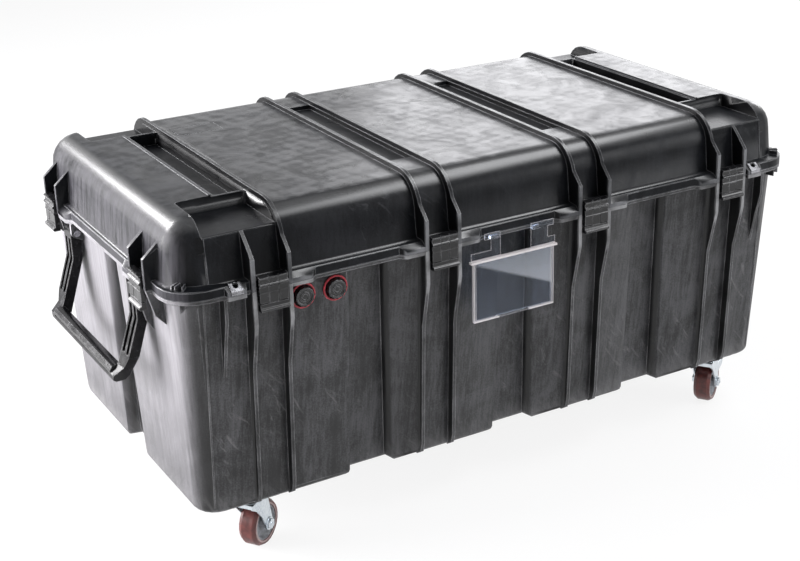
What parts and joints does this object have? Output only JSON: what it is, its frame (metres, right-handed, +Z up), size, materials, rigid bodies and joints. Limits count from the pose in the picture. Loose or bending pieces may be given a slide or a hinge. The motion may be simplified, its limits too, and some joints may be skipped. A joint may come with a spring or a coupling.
{
  "type": "pallet-size hard case",
  "caption": "Long black moulded transport case on swivel casters, with a hinged ribbed lid, edge latches, bail end handles, pressure valves and a clear document pocket.",
  "frame": {"origin": "on the floor, under the middle of the case", "axes": "+X along the length, towards the end on the viewer's right; the front with its latches faces -Y; +Z up"},
  "size_m": [1.312, 0.684, 0.61],
  "materials": {
    "shell": "moulded black polyethylene with a fine grain, semi-gloss and scuffed",
    "fitting": "smooth black nylon",
    "seal": "soft black rubber",
    "stainless": "bare stainless steel",
    "ring": "red rubber",
    "clear": "clear polished acrylic",
    "black_steel": "black coated steel",
    "zinc": "zinc plated steel",
    "hub": "grey nylon",
    "tread": "maroon polyurethane"
  },
  "bodies": {
    "base": {"base_shell": "shell", "document_holder": "clear", "valve_ring_1": "ring", "valve_ring_2": "ring", "handle_pin_left_front": "stainless", "handle_pin_left_rear": "stainless", "handle_pin_right_front": "stainless", "handle_pin_right_rear": "stainless", "hinge_pin_1": "stainless", "hinge_pin_2": "stainless", "hinge_pin_3": "stainless", "hinge_pin_4": "stainless", "caster_front_left_plate": "black_steel", "caster_front_right_plate": "black_steel", "caster_rear_left_plate": "black_steel", "caster_rear_right_plate": "black_steel"},
    "lid": {"lid_shell": "shell", "lid_seal": "seal", "padlock_plate_left": "stainless", "padlock_plate_right": "stainless"},
    "latch_front_1": {"latch_front_1": "fitting"},
    "latch_front_1_tongue": {"latch_front_1_tongue": "fitting"},
    "latch_front_2": {"latch_front_2": "fitting"},
    "latch_front_2_tongue": {"latch_front_2_tongue": "fitting"},
    "latch_front_3": {"latch_front_3": "fitting"},
    "latch_front_3_tongue": {"latch_front_3_tongue": "fitting"},
    "latch_front_4": {"latch_front_4": "fitting"},
    "latch_front_4_tongue": {"latch_front_4_tongue": "fitting"},
    "latch_left_front": {"latch_left_front": "fitting"},
    "latch_left_front_tongue": {"latch_left_front_tongue": "fitting"},
    "latch_left_rear": {"latch_left_rear": "fitting"},
    "latch_left_rear_tongue": {"latch_left_rear_tongue": "fitting"},
    "latch_right_front": {"latch_right_front": "fitting"},
    "latch_right_front_tongue": {"latch_right_front_tongue": "fitting"},
    "latch_right_rear": {"latch_right_rear": "fitting"},
    "latch_right_rear_tongue": {"latch_right_rear_tongue": "fitting"},
    "handle_left": {"handle_left": "fitting"},
    "handle_right": {"handle_right": "fitting"},
    "valve_knob_1": {"valve_knob_1": "fitting"},
    "valve_knob_2": {"valve_knob_2": "fitting"},
    "caster_front_left_fork": {"caster_front_left_fork": "zinc", "caster_front_left_axle": "zinc"},
    "caster_front_left_wheel": {"caster_front_left_hub": "hub", "caster_front_left_tread": "tread"},
    "caster_front_right_fork": {"caster_front_right_fork": "zinc", "caster_front_right_axle": "zinc"},
    "caster_front_right_wheel": {"caster_front_right_hub": "hub", "caster_front_right_tread": "tread"},
    "caster_rear_left_fork": {"caster_rear_left_fork": "zinc", "caster_rear_left_axle": "zinc"},
    "caster_rear_left_wheel": {"caster_rear_left_hub": "hub", "caster_rear_left_tread": "tread"},
    "caster_rear_right_fork": {"caster_rear_right_fork": "zinc", "caster_rear_right_axle": "zinc"},
    "caster_rear_right_wheel": {"caster_rear_right_hub": "hub", "caster_rear_right_tread": "tread"},
    "caster_front_right_brake": {"caster_front_right_brake": "zinc"},
    "caster_rear_right_brake": {"caster_rear_right_brake": "zinc"}
  },
  "joints": [
    {"name": "lid_hinge", "type": "hinge", "parent": "base", "child": "lid", "pos_m": [0, 0.334, 0.491], "axis": [-1, 0, 0], "range_deg": [0, 100]},
    {"name": "latch_front_1_pivot", "type": "hinge", "parent": "lid", "child": "latch_front_1", "pos_m": [-0.4525, -0.3265, 0.508], "axis": [-1, 0, 0], "range_deg": [0, 110]},
    {"name": "latch_front_1_tongue_pivot", "type": "hinge", "parent": "latch_front_1", "child": "latch_front_1_tongue", "pos_m": [-0.4525, -0.3345, 0.481], "axis": [-1, 0, 0], "range_deg": [0, 40]},
    {"name": "latch_front_2_pivot", "type": "hinge", "parent": "lid", "child": "latch_front_2", "pos_m": [-0.1502, -0.3265, 0.508], "axis": [-1, 0, 0], "range_deg": [0, 110]},
    {"name": "latch_front_2_tongue_pivot", "type": "hinge", "parent": "latch_front_2", "child": "latch_front_2_tongue", "pos_m": [-0.1502, -0.3345, 0.481], "axis": [-1, 0, 0], "range_deg": [0, 40]},
    {"name": "latch_front_3_pivot", "type": "hinge", "parent": "lid", "child": "latch_front_3", "pos_m": [0.1502, -0.3265, 0.508], "axis": [-1, 0, 0], "range_deg": [0, 110]},
    {"name": "latch_front_3_tongue_pivot", "type": "hinge", "parent": "latch_front_3", "child": "latch_front_3_tongue", "pos_m": [0.1502, -0.3345, 0.481], "axis": [-1, 0, 0], "range_deg": [0, 40]},
    {"name": "latch_front_4_pivot", "type": "hinge", "parent": "lid", "child": "latch_front_4", "pos_m": [0.4525, -0.3265, 0.508], "axis": [-1, 0, 0], "range_deg": [0, 110]},
    {"name": "latch_front_4_tongue_pivot", "type": "hinge", "parent": "latch_front_4", "child": "latch_front_4_tongue", "pos_m": [0.4525, -0.3345, 0.481], "axis": [-1, 0, 0], "range_deg": [0, 40]},
    {"name": "latch_left_front_pivot", "type": "hinge", "parent": "lid", "child": "latch_left_front", "pos_m": [-0.6135, -0.206, 0.508], "axis": [0, 1, 0], "range_deg": [0, 110]},
    {"name": "latch_left_front_tongue_pivot", "type": "hinge", "parent": "latch_left_front", "child": "latch_left_front_tongue", "pos_m": [-0.6215, -0.206, 0.481], "axis": [0, 1, 0], "range_deg": [0, 40]},
    {"name": "latch_left_rear_pivot", "type": "hinge", "parent": "lid", "child": "latch_left_rear", "pos_m": [-0.6135, 0.206, 0.508], "axis": [0, 1, 0], "range_deg": [0, 110]},
    {"name": "latch_left_rear_tongue_pivot", "type": "hinge", "parent": "latch_left_rear", "child": "latch_left_rear_tongue", "pos_m": [-0.6215, 0.206, 0.481], "axis": [0, 1, 0], "range_deg": [0, 40]},
    {"name": "latch_right_front_pivot", "type": "hinge", "parent": "lid", "child": "latch_right_front", "pos_m": [0.6135, -0.206, 0.508], "axis": [0, -1, 0], "range_deg": [0, 110]},
    {"name": "latch_right_front_tongue_pivot", "type": "hinge", "parent": "latch_right_front", "child": "latch_right_front_tongue", "pos_m": [0.6215, -0.206, 0.481], "axis": [0, -1, 0], "range_deg": [0, 40]},
    {"name": "latch_right_rear_pivot", "type": "hinge", "parent": "lid", "child": "latch_right_rear", "pos_m": [0.6135, 0.206, 0.508], "axis": [0, -1, 0], "range_deg": [0, 110]},
    {"name": "latch_right_rear_tongue_pivot", "type": "hinge", "parent": "latch_right_rear", "child": "latch_right_rear_tongue", "pos_m": [0.6215, 0.206, 0.481], "axis": [0, -1, 0], "range_deg": [0, 40]},
    {"name": "handle_left_swing", "type": "hinge", "parent": "base", "child": "handle_left", "pos_m": [-0.6045, 0, 0.466], "axis": [0, 1, 0], "range_deg": [0, 85]},
    {"name": "handle_right_swing", "type": "hinge", "parent": "base", "child": "handle_right", "pos_m": [0.6045, 0, 0.466], "axis": [0, -1, 0], "range_deg": [0, 85]},
    {"name": "valve_knob_1_turn", "type": "hinge", "parent": "base", "child": "valve_knob_1", "pos_m": [-0.395, -0.319, 0.459], "axis": [0, -1, 0], "range_deg": [0, 180]},
    {"name": "valve_knob_2_turn", "type": "hinge", "parent": "base", "child": "valve_knob_2", "pos_m": [-0.339, -0.319, 0.459], "axis": [0, -1, 0], "range_deg": [0, 180]},
    {"name": "caster_front_left_swivel", "type": "hinge", "parent": "base", "child": "caster_front_left_fork", "pos_m": [-0.482, -0.25, 0.0965], "axis": [0, 0, 1], "continuous": true},
    {"name": "caster_front_left_roll", "type": "hinge", "parent": "caster_front_left_fork", "child": "caster_front_left_wheel", "pos_m": [-0.46152, -0.23566, 0.04], "axis": [-0.5736, 0.8192, 0], "continuous": true},
    {"name": "caster_front_right_swivel", "type": "hinge", "parent": "base", "child": "caster_front_right_fork", "pos_m": [0.482, -0.25, 0.0965], "axis": [0, 0, 1], "continuous": true},
    {"name": "caster_front_right_roll", "type": "hinge", "parent": "caster_front_right_fork", "child": "caster_front_right_wheel", "pos_m": [0.50248, -0.23566, 0.04], "axis": [-0.5736, 0.8192, 0], "continuous": true},
    {"name": "caster_front_right_brake_press", "type": "hinge", "parent": "caster_front_right_fork", "child": "caster_front_right_brake", "pos_m": [0.53115, -0.21559, 0.067], "axis": [-0.5736, 0.8192, 0], "range_deg": [0, 20]},
    {"name": "caster_rear_left_swivel", "type": "hinge", "parent": "base", "child": "caster_rear_left_fork", "pos_m": [-0.482, 0.25, 0.0965], "axis": [0, 0, 1], "continuous": true},
    {"name": "caster_rear_left_roll", "type": "hinge", "parent": "caster_rear_left_fork", "child": "caster_rear_left_wheel", "pos_m": [-0.46152, 0.26434, 0.04], "axis": [-0.5736, 0.8192, 0], "continuous": true},
    {"name": "caster_rear_right_swivel", "type": "hinge", "parent": "base", "child": "caster_rear_right_fork", "pos_m": [0.482, 0.25, 0.0965], "axis": [0, 0, 1], "continuous": true},
    {"name": "caster_rear_right_roll", "type": "hinge", "parent": "caster_rear_right_fork", "child": "caster_rear_right_wheel", "pos_m": [0.50248, 0.26434, 0.04], "axis": [-0.5736, 0.8192, 0], "continuous": true},
    {"name": "caster_rear_right_brake_press", "type": "hinge", "parent": "caster_rear_right_fork", "child": "caster_rear_right_brake", "pos_m": [0.53115, 0.28441, 0.067], "axis": [-0.5736, 0.8192, 0], "range_deg": [0, 20]}
  ]
}
